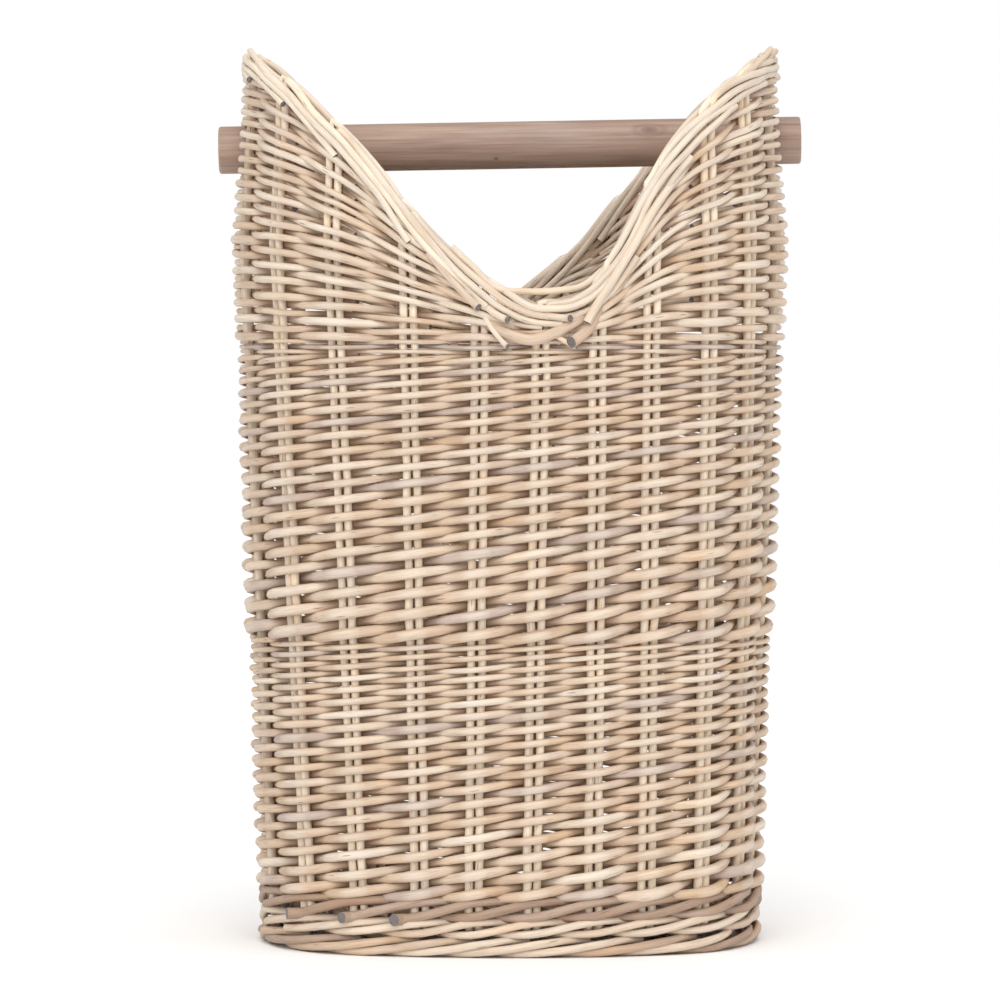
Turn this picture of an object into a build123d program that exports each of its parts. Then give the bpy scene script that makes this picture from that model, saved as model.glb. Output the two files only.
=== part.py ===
"""Wicker log basket: a tall oval willow basket with two high ends and a wooden pole handle through them.

Units are millimetres. The origin is on the floor under the middle of the basket, +Z is up, the front is
-Y, and the pole handle lies along X. Pairs of upright stakes stand on the middle surface of the wall.
Each stake is pushed into the edge of the oval base, turns up sharply, and runs through every woven band
to the rim.
"""

from build123d import *
import math
import os

os.makedirs("parts", exist_ok=True)

# ---------------------------------------------------------------- driving dimensions

# The plan is an oval of tangent arcs. Every height uses the same arc centres, so the ovals are offsets.
END_CENTRE_X = 27.0
CORNER_CENTRE = (76.4, 24.1)
BACK_CENTRE_Y = -196.0  # centre of the long arc at the back; the front one is mirrored

# (height, half length of the wall's middle surface) from the floor to the tips of the ends
WALL_PROFILE = ((0.0, 171.0), (500.0, 193.0), (664.0, 182.5))
SHOULDER_Z = 500.0  # the wall leans out up to here and leans in above

FOOT_TOP_Z = 14.4
LOWER_WALE_TOP_Z = 26.0
UPPER_WALE_TOP_Z = 41.0
LOWER_BAND_TOP_Z = 222.0
MIDDLE_BAND_TOP_Z = 423.0
TOP_ROUND_TOP_Z = 431.0
WEAVE_HALF_THICK = 9.5  # a rod in front of and behind each stake
BORDER_HALF_THICK = 11.5
BORDER_DEPTH = 17.0

# the front rim seen from the front, (x, height); the back rim is the same turned half a turn about Z
RIM_POINTS = (
    (-205.0, 653.5),
    (-150.0, 612.0),
    (-112.0, 577.0),
    (-83.0, 543.0),
    (-55.0, 509.0),
    (-28.0, 483.0),
    (-2.0, 461.0),
    (17.0, 453.0),
    (38.0, 453.0),
    (55.0, 465.0),
    (72.0, 493.0),
    (88.0, 529.0),
    (104.0, 560.0),
    (125.0, 587.0),
    (150.0, 612.0),
    (205.0, 653.5),
)
RIM_FILLET = 24.0
SADDLE_X = 28.0  # lowest place of the front rim

STAKE_R = 2.9
STAKE_GAP = 1.4  # between the two stakes of a pair
STAKE_CLEARANCE = 0.1
STAKE_FOOT_LENGTH = 40.0
STAKE_TOP_BELOW_RIM = 9.0
KNUCKLE_SWELL = 1.025  # a bent stake is a little thicker where it is kinked

# Where each stake pair stands: the distance along the wall's middle surface from the left end, going round
# the front. The rest of the pairs stand evenly round the back, between the last of these and the first.
PAIR_DISTANCES_AT_FOOT = (
    *(13.0, 31.0, 93.0, 137.0, 181.0, 218.5),
    *(259.0, 302.5, 341.0, 385.0, 433.0, 477.0, 520.0),
)
PAIR_DISTANCES_AT_SHOULDER = (
    *(-31.0, 34.0, 98.0, 150.0, 205.0, 257.0),
    *(300.0, 339.0, 378.0, 423.0, 465.0, 523.0, 586.0),
)
PAIRS = 24

BASE_Z = 20.0
BASE_HALF_THICK = 8.0
CROSS_STICK_R = 4.5
LONG_STICK_R = 3.2
STICK_CLEARANCE = 0.1
STICK_END_INSET = 46.0  # from the wall's middle surface
LONG_STICK_Y = (-36.0, -12.0, 12.0, 36.0)
CROSS_STICK_X = (-122.0, -91.0, -60.0, -30.0, 0.0, 30.0, 60.0, 91.0, 122.0)

POLE_R = 17.0
POLE_LENGTH = 418.0
POLE_Z = 571.0
POLE_RISE_DEG = 1.0  # the right end sits a little higher
POLE_CHAMFER = 1.2
POLE_CLEARANCE = 0.08


# ---------------------------------------------------------------- the wall's middle surface


def half_length(z):
    """Half length of the wall's middle surface at height z."""
    for (z0, a0), (z1, a1) in zip(WALL_PROFILE, WALL_PROFILE[1:]):
        if z <= z1:
            break
    return a0 + (a1 - a0) * (z - z0) / (z1 - z0)


def oval_arcs(z, offset=0.0):
    """The oval's arcs (centre, radius, start, size in degrees), from the left end round the front."""
    corner_x, corner_y = CORNER_CENTRE
    join_1 = math.degrees(math.atan2(corner_y, corner_x - END_CENTRE_X))
    join_2 = math.degrees(math.atan2(corner_y - BACK_CENTRE_Y, corner_x))
    end_r = half_length(z) + offset - END_CENTRE_X
    corner_r = end_r - math.hypot(corner_x - END_CENTRE_X, corner_y)
    front_r = corner_r + math.hypot(corner_x, corner_y - BACK_CENTRE_Y)
    return [
        ((-END_CENTRE_X, 0.0), end_r, 180.0, join_1),
        ((-corner_x, -corner_y), corner_r, 180.0 + join_1, join_2 - join_1),
        ((0.0, -BACK_CENTRE_Y), front_r, 180.0 + join_2, 180.0 - 2 * join_2),
        ((corner_x, -corner_y), corner_r, 360.0 - join_2, join_2 - join_1),
        ((END_CENTRE_X, 0.0), end_r, 360.0 - join_1, 2 * join_1),
        ((corner_x, corner_y), corner_r, 360.0 + join_1, join_2 - join_1),
        ((0.0, BACK_CENTRE_Y), front_r, 360.0 + join_2, 180.0 - 2 * join_2),
        ((-corner_x, corner_y), corner_r, 540.0 - join_2, join_2 - join_1),
        ((-END_CENTRE_X, 0.0), end_r, 540.0 - join_1, join_1),
    ]


def oval_length(z):
    return sum(radius * math.radians(size) for _, radius, _, size in oval_arcs(z))


def on_oval(distance, z):
    """Point at a distance along the middle surface, and the unit vector along the oval there."""
    left = distance % oval_length(z)
    for (x, y), radius, start, size in oval_arcs(z):
        turn = min(math.radians(size), left / radius)
        left -= radius * math.radians(size)
        if left <= 0:
            break
    angle = math.radians(start) + turn
    point = Vector(x + radius * math.cos(angle), y + radius * math.sin(angle), z)
    return point, Vector(-math.sin(angle), math.cos(angle), 0)


def pair_distances(front, z):
    """Distance along the oval of every pair at height z, by pair number from 1."""
    gap_length = oval_length(z) + front[0] - front[-1]
    behind = PAIRS - len(front)
    back = [front[-1] + gap_length * k / (behind + 1) for k in range(1, behind + 1)]
    return dict(enumerate([*front, *back], start=1))


AT_FOOT = pair_distances(PAIR_DISTANCES_AT_FOOT, BASE_Z)
AT_SHOULDER = pair_distances(PAIR_DISTANCES_AT_SHOULDER, SHOULDER_Z)


# ---------------------------------------------------------------- the rim


def rim_height(point):
    """Height of the rim over a point of the wall, on the front rim or on the back one turned half a turn."""
    x = point.X if point.Y < 0 else -point.X
    for (x0, z0), (x1, z1) in zip(RIM_POINTS, RIM_POINTS[1:]):
        if x <= x1:
            break
    return z0 + (z1 - z0) * (x - x0) / (x1 - x0)


def rim_line(drop):
    """The front rim's points moved down square to the rim by drop; the end points move straight down."""
    points = [Vector(x, z) for x, z in RIM_POINTS]
    runs = [(b - a).normalized() for a, b in zip(points, points[1:])]
    moved = []
    for point, before, after in zip(points, [runs[0], *runs], [*runs, runs[-1]]):
        along = (before + after).normalized()
        down = Vector(along.Y, -along.X)
        moved.append(point + down * (drop / along.dot(before)))
    for i, run in ((0, runs[0]), (-1, runs[-1])):
        moved[i] = Vector(points[i].X, points[i].Y - drop / run.X)
    return moved


def under_rim(drop, low_z=None, depth=None):
    """The space in front of Y = 0 under the rim moved down by drop, down to low_z or for the given depth."""
    reach = 230.0
    upper = rim_line(drop)
    if depth is None:
        lower = [Vector(upper[0].X, low_z), Vector(upper[-1].X, low_z)]
        lower_run = Line(*lower)
    else:
        lower = rim_line(drop + depth)
        lower_run = FilletPolyline(*lower, radius=RIM_FILLET)
    upper_run = FilletPolyline(*upper, radius=RIM_FILLET)
    sides = [Line(upper[0], lower[0]), Line(upper[-1], lower[-1])]
    outline = make_face([*upper_run.edges(), *lower_run.edges(), *sides])
    return extrude(Plane.XZ * outline, reach)


def on_both_sides(ring, front_space):
    """What a ring has inside a space in front, and inside the same space turned half a turn about Z."""
    back_space = front_space.rotate(Axis.Z, 180)
    return (ring & front_space) + (ring & back_space)


# ---------------------------------------------------------------- wall solids


def oval_face(z, offset):
    arcs = [CenterArc(centre, radius, start, size) for centre, radius, start, size in oval_arcs(z, offset)]
    return Pos(0, 0, z) * make_face(arcs)


def wall_block(low_z, high_z, offset):
    """Solid oval from low_z to high_z that follows the wall's profile."""
    heights = [low_z, *(z for z, _ in WALL_PROFILE if low_z < z < high_z), high_z]
    block = None
    for z0, z1 in zip(heights, heights[1:]):
        piece = loft([oval_face(z0, offset), oval_face(z1, offset)], ruled=True)
        block = piece if block is None else block + piece
    return block


def wall_ring(low_z, high_z, half_thick):
    return wall_block(low_z, high_z, half_thick) - wall_block(low_z, high_z, -half_thick)


# ---------------------------------------------------------------- rods


def rod(start, end, radius):
    return extrude(Plane(origin=start, z_dir=end - start) * Circle(radius), (end - start).length)


def bent_rod(points, radius):
    """Straight runs with a round knuckle at each turn."""
    shape = None
    for start, end in zip(points, points[1:]):
        run = rod(start, end, radius)
        shape = run if shape is None else shape + Pos(start) * Sphere(radius * KNUCKLE_SWELL) + run
    return shape


def stake_points(number, side):
    """Route of one stake of a pair: out along the base, up the wall, to inside the rim border."""
    sideways = side * (STAKE_R + STAKE_GAP / 2)
    foot, foot_along = on_oval(AT_FOOT[number], BASE_Z)
    shoulder, shoulder_along = on_oval(AT_SHOULDER[number], SHOULDER_Z)
    inward = Vector(-foot_along.Y, foot_along.X, 0)
    turn_up = foot + foot_along * sideways
    foot_end = turn_up + inward * STAKE_FOOT_LENGTH
    over_shoulder = shoulder + shoulder_along * sideways
    top_z = rim_height(shoulder) - STAKE_TOP_BELOW_RIM
    if top_z < SHOULDER_Z + 6:
        share = (top_z - BASE_Z) / (SHOULDER_Z - BASE_Z)
        return [foot_end, turn_up, turn_up + (over_shoulder - turn_up) * share]
    outward = Vector(shoulder_along.Y, -shoulder_along.X, 0)
    lean = half_length(top_z) - half_length(SHOULDER_Z)
    top = over_shoulder + outward * lean + Vector(0, 0, top_z - SHOULDER_Z)
    return [foot_end, turn_up, over_shoulder, top]


def stake_rods(radius):
    """Every stake pair as two rods, by pair number."""
    return {n: [bent_rod(stake_points(n, side), radius) for side in (-1, 1)] for n in range(1, PAIRS + 1)}


def stick_reach(start, along):
    """How far a base stick runs from a point on an axis of the base, out to the inset oval."""
    reach = 0.0
    while inside_base(start + along * (reach + 1)):
        reach += 1
    return reach


def inside_base(point):
    """Whether a point lies inside the oval inset for the base sticks."""
    x, y = abs(point.X), abs(point.Y)
    arcs = oval_arcs(BASE_Z, -STICK_END_INSET)
    for (cx, cy), radius, start, size in (arcs[4], arcs[5], arcs[6]):
        angle = math.degrees(math.atan2(y - cy, x - cx))
        if start - 360 <= angle <= start - 360 + size:
            return math.hypot(x - cx, y - cy) <= radius
    return True


def long_stick(y, radius):
    reach = stick_reach(Vector(0, y, BASE_Z), Vector(1, 0, 0))
    return rod(Vector(-reach, y, BASE_Z), Vector(reach, y, BASE_Z), radius)


def cross_stick(x, radius):
    reach = stick_reach(Vector(x, 0, BASE_Z), Vector(0, 1, 0))
    return rod(Vector(x, -reach, BASE_Z), Vector(x, reach, BASE_Z), radius)


# ---------------------------------------------------------------- the pole handle


def pole_cylinder(radius, length):
    rise = math.radians(POLE_RISE_DEG)
    along = Vector(math.cos(rise), 0, math.sin(rise))
    middle = Vector(0, 0, POLE_Z)
    return rod(middle - along * (length / 2), middle + along * (length / 2), radius)


def pole():
    bar = pole_cylinder(POLE_R, POLE_LENGTH)
    return chamfer(bar.edges().filter_by(GeomType.CIRCLE), POLE_CHAMFER)


# ---------------------------------------------------------------- assembly


def save(name, shapes):
    solids = [solid for shape in shapes for solid in shape.solids()]
    export_step(Compound(children=solids), f"parts/{name}.step")
    print(name, len(solids), "solids", round(sum(solid.volume for solid in solids)), flush=True)


def main():
    for number, rods in stake_rods(STAKE_R).items():
        save(f"stake_pair_{number:02d}", rods)
    channels = [one for rods in stake_rods(STAKE_R + STAKE_CLEARANCE).values() for one in rods]

    wide_long = [long_stick(y, LONG_STICK_R + STICK_CLEARANCE) for y in LONG_STICK_Y]
    wide_cross = [cross_stick(x, CROSS_STICK_R + STICK_CLEARANCE) for x in CROSS_STICK_X]
    for i, y in enumerate(LONG_STICK_Y, start=1):
        save(f"base_stick_long_{i}", [long_stick(y, LONG_STICK_R)])
    for i, x in enumerate(CROSS_STICK_X, start=1):
        save(f"base_stick_cross_{i}", [cross_stick(x, CROSS_STICK_R) - wide_long])
    base = wall_block(BASE_Z - BASE_HALF_THICK, BASE_Z + BASE_HALF_THICK, -WEAVE_HALF_THICK - 0.1)
    save("base_weave", [base - wide_long - wide_cross - channels])

    save("foot_border", [wall_ring(0.0, FOOT_TOP_Z, WEAVE_HALF_THICK)])
    bands = {
        "lower_wale": (FOOT_TOP_Z, LOWER_WALE_TOP_Z),
        "upper_wale": (LOWER_WALE_TOP_Z, UPPER_WALE_TOP_Z),
        "lower_weave_band": (UPPER_WALE_TOP_Z, LOWER_BAND_TOP_Z),
        "middle_weave_band": (LOWER_BAND_TOP_Z, MIDDLE_BAND_TOP_Z),
        "top_round": (MIDDLE_BAND_TOP_Z, TOP_ROUND_TOP_Z),
    }
    for name, (low_z, high_z) in bands.items():
        save(name, [wall_ring(low_z, high_z, WEAVE_HALF_THICK) - channels])

    # the two packed ends meet at the lowest places of the rim
    top_z = WALL_PROFILE[-1][0]
    ring = wall_ring(TOP_ROUND_TOP_Z, top_z, WEAVE_HALF_THICK)
    packing = on_both_sides(ring, under_rim(BORDER_DEPTH, low_z=TOP_ROUND_TOP_Z))
    reach = 2 * RIM_POINTS[-1][0]
    front_left = Pos(SADDLE_X - reach / 2, -reach / 4, top_z / 2) * Box(reach, reach / 2, top_z)
    back_left = Pos(-SADDLE_X - reach / 2, reach / 4, top_z / 2) * Box(reach, reach / 2, top_z)
    left_space = front_left + back_left
    pole_hole = pole_cylinder(POLE_R + POLE_CLEARANCE, 2 * reach)
    save("ear_weave_left", [(packing & left_space) - channels - pole_hole])
    save("ear_weave_right", [(packing - left_space) - channels - pole_hole])
    border_ring = wall_ring(TOP_ROUND_TOP_Z, top_z, BORDER_HALF_THICK)
    save("rim_border", [on_both_sides(border_ring, under_rim(0.0, depth=BORDER_DEPTH)) - channels])
    save("pole_handle", [pole()])


main()
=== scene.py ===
"""Wicker log basket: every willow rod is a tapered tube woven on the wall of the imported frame.

The weave is worked out in millimetres on the wall's middle surface. A place on it is a pair coordinate (1.0
is at stake pair 1, 1.5 is half way to pair 2), a height, and a distance out of it. Meshes are in metres.
"""

import math

import bpy
import numpy as np
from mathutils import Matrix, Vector


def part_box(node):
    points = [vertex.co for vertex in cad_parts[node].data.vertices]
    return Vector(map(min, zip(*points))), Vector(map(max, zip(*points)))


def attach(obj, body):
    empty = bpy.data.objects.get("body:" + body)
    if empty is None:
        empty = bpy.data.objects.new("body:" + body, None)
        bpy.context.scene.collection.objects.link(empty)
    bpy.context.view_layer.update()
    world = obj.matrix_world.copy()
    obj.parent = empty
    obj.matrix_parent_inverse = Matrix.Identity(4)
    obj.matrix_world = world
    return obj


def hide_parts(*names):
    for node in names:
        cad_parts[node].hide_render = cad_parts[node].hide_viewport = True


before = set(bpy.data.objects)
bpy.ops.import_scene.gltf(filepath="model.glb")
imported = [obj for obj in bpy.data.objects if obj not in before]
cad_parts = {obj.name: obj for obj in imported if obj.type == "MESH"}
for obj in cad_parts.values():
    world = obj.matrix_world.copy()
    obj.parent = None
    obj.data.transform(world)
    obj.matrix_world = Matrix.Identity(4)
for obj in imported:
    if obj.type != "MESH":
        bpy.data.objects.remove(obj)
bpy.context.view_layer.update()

MM = 0.001
PAIRS = 24  # of stakes


def cad_heights(node):
    """Lowest and highest point of a CAD node, in millimetres."""
    low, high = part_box(node)
    return low.z / MM, high.z / MM


# ---------------- the wall, as the frame has it

# the oval of the wall's middle surface is made of arcs: two ends, four corners, the front and the back
END_CENTRE_X = 27.0
CORNER_CENTRE_X, CORNER_CENTRE_Y = 76.4, 24.1
BACK_CENTRE_Y = -196.0  # of the back's arc; the front's is as far behind the middle
WALL_PROFILE = ((0.0, 171.0), (500.0, 193.0), (664.0, 182.5))  # heights, and half the oval's length at each
FOOT_Z, SHOULDER_Z = 20.0, 500.0
# from the left end along the front to each pair that stands there; the others are spread evenly behind
PAIR_DISTANCES_AT_FOOT = (
    13.0, 31.0, 93.0, 137.0, 181.0, 218.5, 259.0, 302.5, 341.0, 385.0, 433.0, 477.0, 520.0,
)  # fmt: skip
PAIR_DISTANCES_AT_SHOULDER = (
    -31.0, 34.0, 98.0, 150.0, 205.0, 257.0, 300.0, 339.0, 378.0, 423.0, 465.0, 523.0, 586.0,
)  # fmt: skip
# x and height along the top of the front rim; the back rim is the same turned half round
RIM_POINTS = (
    (-205.0, 653.5), (-150.0, 612.0), (-112.0, 577.0), (-83.0, 543.0), (-55.0, 509.0), (-28.0, 483.0),
    (-2.0, 461.0), (17.0, 453.0), (38.0, 453.0), (55.0, 465.0), (72.0, 493.0), (88.0, 529.0), (104.0, 560.0),
    (125.0, 587.0), (150.0, 612.0), (205.0, 653.5),
)  # fmt: skip

join_1 = math.atan2(CORNER_CENTRE_Y, CORNER_CENTRE_X - END_CENTRE_X)
join_2 = math.atan2(CORNER_CENTRE_Y - BACK_CENTRE_Y, CORNER_CENTRE_X)
half_turn = np.array([-join_1, join_1, join_2, math.pi - join_2])
# the arcs by turn from the left end: where each starts, its centre, and its radius less the half length
ARC_START = np.concatenate([half_turn, half_turn + math.pi, [2 * math.pi - join_1]])
ARC_START[0] = 0
half_oval = np.array([(END_CENTRE_X, 0), (CORNER_CENTRE_X, CORNER_CENTRE_Y), (0, BACK_CENTRE_Y),
                      (-CORNER_CENTRE_X, CORNER_CENTRE_Y)])  # fmt: skip
ARC_CENTRE = np.concatenate([-half_oval, half_oval, -half_oval[:1]])
end_less = -END_CENTRE_X
corner_less = end_less - math.hypot(CORNER_CENTRE_X - END_CENTRE_X, CORNER_CENTRE_Y)
front_less = corner_less + math.hypot(CORNER_CENTRE_X, CORNER_CENTRE_Y - BACK_CENTRE_Y)
ARC_LESS = np.array([end_less, corner_less, front_less, corner_less] * 2 + [end_less])
ARC_SIZE = np.diff(np.append(ARC_START, 2 * math.pi))
ARC_SUM = np.concatenate([[0], np.cumsum(ARC_LESS * ARC_SIZE)])


def half_length(z):
    """Half the length of the middle surface's oval at height z."""
    return np.interp(z, [h for h, _ in WALL_PROFILE], [a for _, a in WALL_PROFILE])


def arc_at(turn):
    """Index of the arc that a turn from 0 to a whole one is on."""
    return np.clip(np.searchsorted(ARC_START, turn, side="right") - 1, 0, len(ARC_START) - 1)


def distance_of(turn, z):
    """Distance along the middle surface from the left end to a turn."""
    whole = np.floor(turn / (2 * math.pi))
    rest = turn - whole * 2 * math.pi
    arc = arc_at(rest)
    less = whole * ARC_SUM[-1] + ARC_SUM[arc] + (rest - ARC_START[arc]) * ARC_LESS[arc]
    return half_length(z) * turn + less


def turn_of(distance, z):
    """The turn at a distance along the middle surface from the left end, and its arc."""
    a = half_length(z)
    around = 2 * math.pi * a + ARC_SUM[-1]
    whole = np.floor(distance / around)
    rest = distance - whole * around
    starts = a[:, None] * ARC_START[None, :] + ARC_SUM[None, :-1]
    arc = np.clip((rest[:, None] >= starts).sum(1) - 1, 0, len(ARC_START) - 1)
    picked = starts[np.arange(len(arc)), arc]
    return whole * 2 * math.pi + ARC_START[arc] + (rest - picked) / (a + ARC_LESS[arc]), arc


def all_turns(front_distances, z):
    """Turns of all the pairs at height z, those behind spread evenly."""
    height = np.array([z])
    around = distance_of(np.array([2 * math.pi]), height)[0]
    behind = PAIRS - len(front_distances)
    gap = around + front_distances[0] - front_distances[-1]
    back = [front_distances[-1] + gap * k / (behind + 1) for k in range(1, behind + 1)]
    return np.array([turn_of(np.array([d]), height)[0][0] for d in (*front_distances, *back)])


FOOT_TURNS = all_turns(PAIR_DISTANCES_AT_FOOT, FOOT_Z)
SHOULDER_TURNS = all_turns(PAIR_DISTANCES_AT_SHOULDER, SHOULDER_Z)


def pair_turn(number, z):
    """Turn of a whole-numbered pair at height z; numbers go on past 24 round the basket."""
    index = (number - 1).astype(int)
    share = np.clip((z - FOOT_Z) / (SHOULDER_Z - FOOT_Z), 0, 1)
    lap = np.floor(index / PAIRS)
    here = index % PAIRS
    return FOOT_TURNS[here] + (SHOULDER_TURNS[here] - FOOT_TURNS[here]) * share + lap * 2 * math.pi


def wall(pair, z, out=0.0, along=0.0):
    """Points on the wall, and its normals, at pair coordinates, heights, distances out and shifts along."""
    pair = np.atleast_1d(np.asarray(pair, float))
    z = np.broadcast_to(np.asarray(z, float), pair.shape)
    out = np.broadcast_to(np.asarray(out, float), pair.shape)
    before = np.floor(pair)
    d0 = distance_of(pair_turn(before, z), z)
    d1 = distance_of(pair_turn(before + 1, z), z)
    turn, arc = turn_of(d0 + (d1 - d0) * (pair - before) + along, z)
    angle = turn + math.pi
    normal = np.stack([np.cos(angle), np.sin(angle), np.zeros_like(angle)], 1)
    reach = half_length(z) + ARC_LESS[arc] + out
    points = np.stack([ARC_CENTRE[arc, 0], ARC_CENTRE[arc, 1], z], 1)
    points = points + normal * reach[:, None]
    return points, normal


def gap_length(pair, z):
    """Distance between the pairs on each side of a pair coordinate."""
    before = np.floor(np.atleast_1d(np.asarray(pair, float)))
    z = np.broadcast_to(np.asarray(z, float), before.shape)
    return distance_of(pair_turn(before + 1, z), z) - distance_of(pair_turn(before, z), z)


def rim_over(points):
    """The rim's height over points of the wall."""
    x = np.where(points[:, 1] < 0, points[:, 0], -points[:, 0])
    return np.interp(x, [p[0] for p in RIM_POINTS], [p[1] for p in RIM_POINTS])


RIM_STEPS = 40  # in each gap
SOFT_STEPS, SOFT_REACH = 5.0, 14  # spread and cut-off of the softening along the rim, in steps
rim_pairs = np.arange(0, PAIRS * RIM_STEPS + 1) / RIM_STEPS + 1
rim_z = np.full_like(rim_pairs, 560.0)
for _ in range(6):
    # the rim's height at a pair depends on its x, and the x on the height: a few rounds settle both
    rim_z = rim_over(wall(rim_pairs, rim_z)[0])
soft = np.exp(-0.5 * (np.arange(-SOFT_REACH, SOFT_REACH + 1) / SOFT_STEPS) ** 2)
rim_lap = np.concatenate([rim_z[-SOFT_REACH - 1 : -1], rim_z, rim_z[1 : SOFT_REACH + 1]])
rim_z = np.convolve(rim_lap, soft / soft.sum(), "valid")
rim_points = wall(rim_pairs, rim_z)[0]
rim_run = np.hypot(np.gradient(rim_points[:, 0]), np.gradient(rim_points[:, 1]))
rim_slope = np.arctan2(np.gradient(rim_z), rim_run)


def lap(pair):
    """Pair coordinates brought back to the first lap, from 1 to 25."""
    return (np.asarray(pair, float) - 1) % PAIRS + 1


def rim_height(pair):
    return np.interp(lap(pair), rim_pairs, rim_z)


def rim_angle(pair):
    return np.interp(lap(pair), rim_pairs, rim_slope)


def on_rim(pair, down, out):
    """Points that lie down below the rim's top line, square to it, and out of the wall by out."""
    angle = rim_angle(pair)
    return wall(pair, rim_height(pair) - down * np.cos(angle), out, down * np.sin(angle))


# ---------------- rods


PLAIN_EXPOSURE = 0.35  # of a rod that is neither behind others, where its colour gets painted shade, nor bent over a stake, where it gets rub wear and a painted highlight
END_BULGE = 0.12  # of a cut end, over the rod's radius


def tube_faces(rings, sides):
    """Quads between rings of points."""
    index = np.arange(rings * sides).reshape(rings, sides)
    a, b = index[:-1], index[1:]
    return np.stack([a, np.roll(a, -1, 1), np.roll(b, -1, 1), b], -1).reshape(-1, 4)


def make_piece(name, verts, faces, smooth, attributes, material):
    """One object of the mesh, with its attributes: vectors (n, 3) or plain numbers (n)."""
    mesh = bpy.data.meshes.new(name)
    mesh.from_pydata((verts * MM).tolist(), [], faces)
    mesh.polygons.foreach_set("use_smooth", smooth)
    for key, values in attributes.items():
        kind, field = ("FLOAT_VECTOR", "vector") if values.ndim == 2 else ("FLOAT", "value")
        made = mesh.attributes.new(key, kind, "POINT")
        made.data.foreach_set(field, values.astype(np.float32).ravel())
    mesh.materials.append(material)
    mesh.update()
    piece = bpy.data.objects.new(name, mesh)
    bpy.context.collection.objects.link(piece)
    return piece


class Rods:
    """Collects tubes and makes one object of them.

    Each vertex keeps its place on the straightened rod, and its look: the rod's tone, the rod's age, and how
    exposed it is, from -1 where it lies behind other rods to 1 where it stands out over a stake. The
    material paints shade on the low end of that, and rub wear with a painted highlight on the high end.
    """

    def __init__(self, name, seed):
        self.name = name
        self.rng = np.random.default_rng(seed)
        self.verts, self.faces, self.smooth, self.co, self.look, self.cut = [], [], [], [], [], []
        self.count = 0

    def add(self, points, radius, tone=None, sides=8, side=None, outward=None):
        """A tube along points (mm), with a radius and a tone for each or for all.

        side is 1 where the rod is in front of the stakes and -1 behind them, and outward the wall's normals.
        """
        points = np.asarray(points, float)
        n = len(points)
        radius = np.broadcast_to(np.asarray(radius, float), (n,))
        run = np.gradient(points, axis=0)
        run /= np.linalg.norm(run, axis=1)[:, None] + 1e-9
        across = np.zeros_like(points)
        first = np.cross(run[0], [0.21, 0.34, 0.92])
        across[0] = first / np.linalg.norm(first)
        for i in range(1, n):
            turned = across[i - 1] - run[i] * np.dot(across[i - 1], run[i])
            across[i] = turned / (np.linalg.norm(turned) + 1e-9)
        up = np.cross(run, across)
        angle = np.arange(sides) * 2 * math.pi / sides
        cos, sin = np.cos(angle), np.sin(angle)
        ring = cos[None, :, None] * across[:, None, :] + sin[None, :, None] * up[:, None, :]
        verts = points[:, None, :] + ring * radius[:, None, None]
        length = np.concatenate([[0], np.cumsum(np.linalg.norm(np.diff(points, axis=0), axis=1))])
        length += self.rng.uniform(0, 4000)
        co = np.empty((n, sides, 3))
        co[..., 0] = length[:, None]
        co[..., 1] = cos[None, :] * radius[:, None]
        co[..., 2] = sin[None, :] * radius[:, None]
        if tone is None:
            tone = self.rng.uniform(0, 1)
        look = np.empty((n, sides, 3))
        look[..., 0] = np.broadcast_to(tone, (n,))[:, None]
        look[..., 1] = self.rng.uniform(0, 1)
        look[..., 2] = PLAIN_EXPOSURE
        if side is not None:
            # only the half of the rod that faces out or in has the look of its side: painted shade where it
            # faces the stakes, rub wear and a painted highlight where it faces away
            facing = np.clip(2.2 * (ring * outward[:, None, :]).sum(-1), -1, 1)
            look[..., 2] = side[:, None] * facing
        faces = tube_faces(n, sides) + self.count
        self.faces += faces.tolist()
        self.smooth += [True] * len(faces)
        self.keep(verts, co, look, 0)
        for end, step in ((0, -1), (n - 1, 1)):
            rim = self.count
            middle = points[end] + run[end] * step * radius[end] * END_BULGE
            self.keep(np.vstack([verts[end], middle]), np.vstack([co[end], [length[end], 0, 0]]),
                      np.tile(look[end, 0], (sides + 1, 1)), 1)  # fmt: skip
            for k in range(sides):
                edge = [rim + k, rim + (k + 1) % sides]
                self.faces.append([*edge[::step], rim + sides])
                self.smooth.append(False)

    def keep(self, verts, co, look, cut):
        """Add vertices with their attributes; cut is 1 on a cut end."""
        for kept, new in ((self.verts, verts), (self.co, co), (self.look, look)):
            kept.append(new.reshape(-1, 3))
        added = len(self.verts[-1])
        self.cut.append(np.full(added, float(cut)))
        self.count += added

    def make(self, material, nodes):
        """The object, riding on the basket in place of the CAD nodes."""
        co, look, cut = np.vstack(self.co), np.vstack(self.look), np.concatenate(self.cut)
        attributes = {"rod_co": co, "rod_look": look, "rod_cut": cut}
        made = make_piece(self.name, np.vstack(self.verts), self.faces, self.smooth, attributes, material)
        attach(made, "basket")
        for node in nodes:
            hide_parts(node)


def smooth_step(share):
    return share * share * (3 - 2 * share)


def eased(knots, at):
    """Knots stand at 0, 1, 2...; their values at places between them, eased from one to the next."""
    at = np.clip(at, 0, len(knots) - 1.001)
    i = at.astype(int)
    share = smooth_step(at - i)
    return knots[i] * (1 - share) + knots[i + 1] * share


def curve(times, rows, at):
    """Smooth curve through rows of values at the given times."""
    times, rows = np.asarray(times, float), np.asarray(rows, float)
    slope = np.gradient(rows, times, axis=0)
    i = np.clip(np.searchsorted(times, at, side="right") - 1, 0, len(times) - 2)
    h = (times[i + 1] - times[i])[:, None]
    f = ((at - times[i]) / h[:, 0])[:, None]
    a = 2 * f**3 - 3 * f**2 + 1
    b = f**3 - 2 * f**2 + f
    c = -2 * f**3 + 3 * f**2
    d = f**3 - f**2
    return a * rows[i] + b * h * slope[i] + c * rows[i + 1] + d * h * slope[i + 1]


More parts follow.
